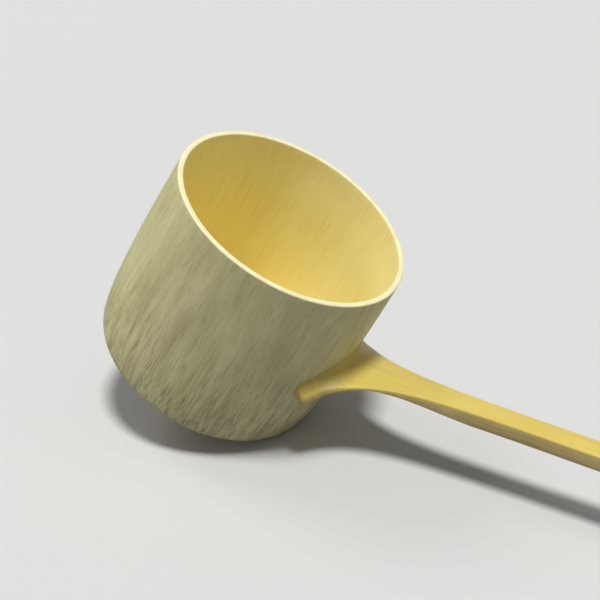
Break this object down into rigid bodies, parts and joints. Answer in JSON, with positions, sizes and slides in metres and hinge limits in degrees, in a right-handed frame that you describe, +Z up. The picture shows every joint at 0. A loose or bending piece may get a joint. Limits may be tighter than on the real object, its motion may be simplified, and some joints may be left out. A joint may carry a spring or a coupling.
{
  "type": "water ladle",
  "caption": "Bamboo water ladle for tea: a cup cut from a culm, and a long thin handle whose crescent foot is pegged through the wall.",
  "frame": {"origin": "on the resting surface, at the middle of the ladle's bounding box, as it lies on its cup and handle end", "axes": "+Z up from the surface, +X along the handle away from the cup, +Y across; the ladle is symmetric about Y = 0"},
  "size_m": [0.4188, 0.0596, 0.0695],
  "materials": {
    "culm": "scraped matte bamboo",
    "strip": "satin bamboo",
    "peg_bamboo": "satin smoked bamboo"
  },
  "bodies": {
    "root": {"cup": "culm", "handle": "strip", "peg": "peg_bamboo"}
  },
  "joints": []
}
